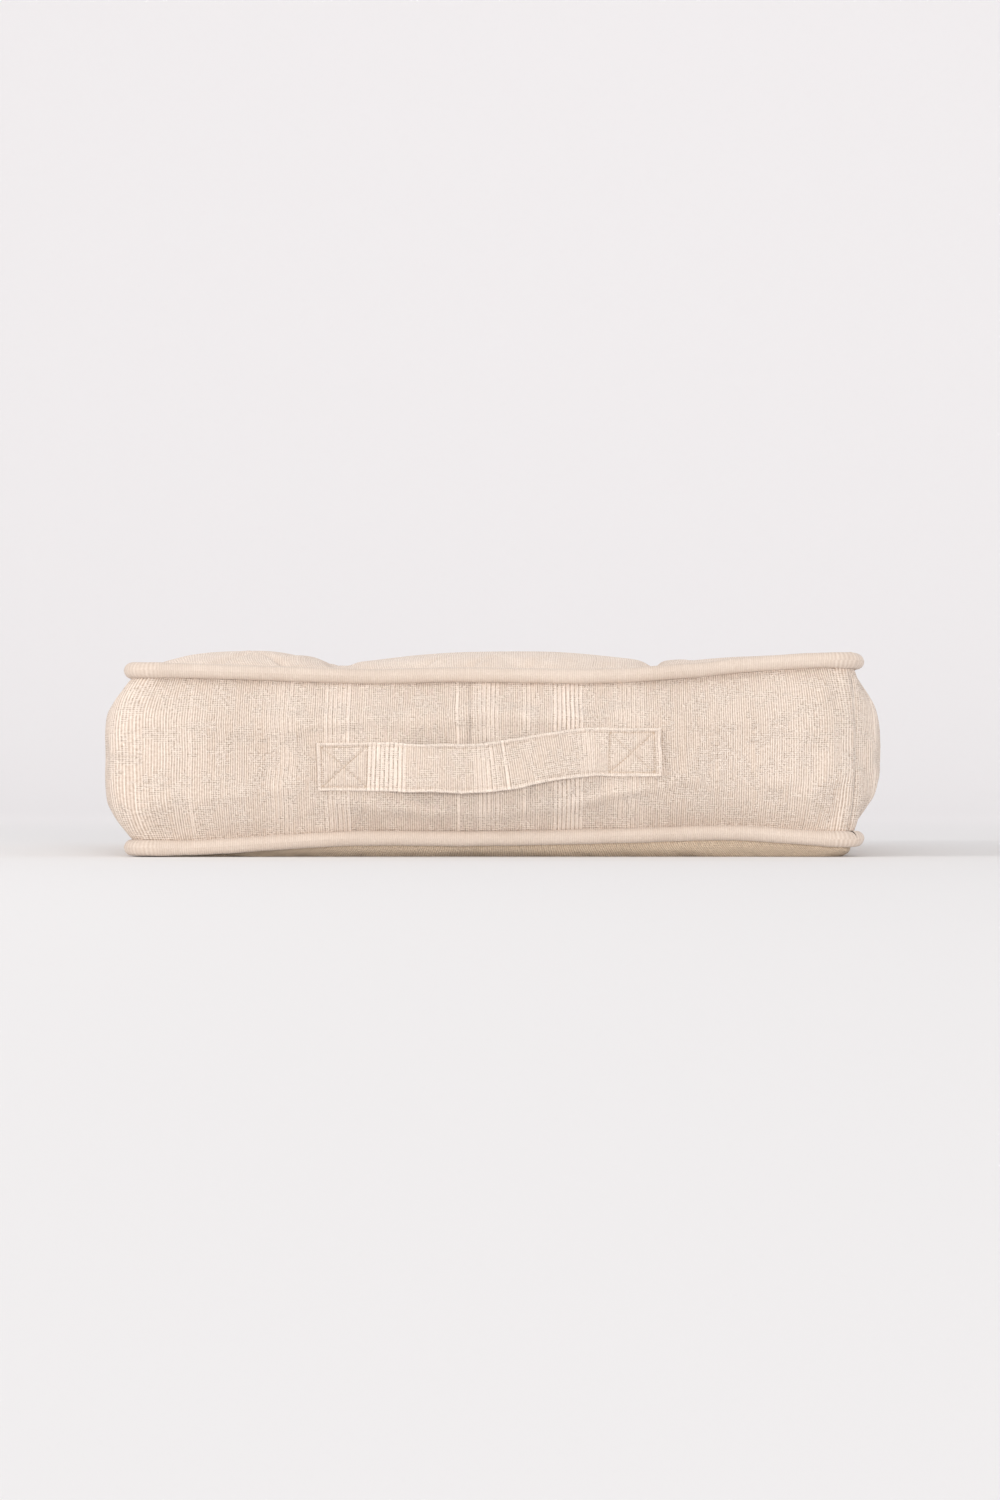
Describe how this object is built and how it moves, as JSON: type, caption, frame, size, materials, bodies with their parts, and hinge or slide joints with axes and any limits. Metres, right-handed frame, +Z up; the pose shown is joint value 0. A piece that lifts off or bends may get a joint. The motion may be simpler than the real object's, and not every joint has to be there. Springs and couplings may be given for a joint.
{
  "type": "floor cushion",
  "caption": "Square boxed floor cushion with a crowned tufted top, corded welts, a carry handle on the front and a zip across the back.",
  "frame": {"origin": "middle of the flat foot on the underside", "axes": "+Z up through the top panel, the handle faces -Y and the zip faces +Y"},
  "size_m": [0.6421, 0.6652, 0.1773],
  "materials": {
    "top_cloth": "slub cotton",
    "boxing_cloth": "slub cotton",
    "underside_cloth": "slub cotton",
    "welt_cloth": "slub cotton",
    "handle_cloth": "slub cotton",
    "button_cloth": "slub cotton",
    "liner_cloth": "plain cotton",
    "piping_cord": "twisted cotton",
    "fibre": "loose fibre",
    "twine": "waxed",
    "thread": "spun thread",
    "zip_tape": "woven tape",
    "zip_coil": "matte",
    "zip_metal": "satin"
  },
  "bodies": {
    "cushion": {"bottom_button_back_left": "button_cloth", "bottom_button_back_right": "button_cloth", "bottom_button_front_left": "button_cloth", "bottom_button_front_right": "button_cloth", "bottom_fibre_layer": "fibre", "bottom_panel": "underside_cloth", "bottom_welt_cord": "piping_cord", "bottom_welt_wrap": "welt_cloth", "core_fibre_layer": "fibre", "front_left_boxing": "boxing_cloth", "handle_backing_left": "liner_cloth", "handle_backing_right": "liner_cloth", "handle_box_stitching_left": "thread", "handle_box_stitching_right": "thread", "handle_edge_stitching_lower": "thread", "handle_edge_stitching_upper": "thread", "handle_strap": "handle_cloth", "liner_band": "liner_cloth", "liner_bottom": "liner_cloth", "liner_top": "liner_cloth", "rear_boxing_lower": "boxing_cloth", "rear_boxing_upper": "boxing_cloth", "right_boxing": "boxing_cloth", "top_button_back_left": "button_cloth", "top_button_back_right": "button_cloth", "top_button_front_left": "button_cloth", "top_button_front_right": "button_cloth", "top_fibre_layer": "fibre", "top_panel": "top_cloth", "top_welt_cord": "piping_cord", "top_welt_wrap": "welt_cloth", "tufting_twine_back_left": "twine", "tufting_twine_back_right": "twine", "tufting_twine_front_left": "twine", "tufting_twine_front_right": "twine", "zip_bottom_stop": "zip_metal", "zip_coil_lower": "zip_coil", "zip_coil_upper": "zip_coil", "zip_tape_lower": "zip_tape", "zip_tape_upper": "zip_tape", "zip_top_stop_lower": "zip_metal", "zip_top_stop_upper": "zip_metal"},
    "slider": {"zip_slider": "zip_metal"},
    "pull": {"zip_pull": "zip_metal"}
  },
  "joints": [
    {"name": "zip_travel", "type": "slide", "parent": "cushion", "child": "slider", "axis": [-1, 0, 0], "range_m": [0, 0.48]},
    {"name": "pull_swing", "type": "hinge", "parent": "slider", "child": "pull", "pos_m": [0.24, 0.32368, 0.0815], "axis": [0, 0, -1], "range_deg": [0, 180]}
  ]
}
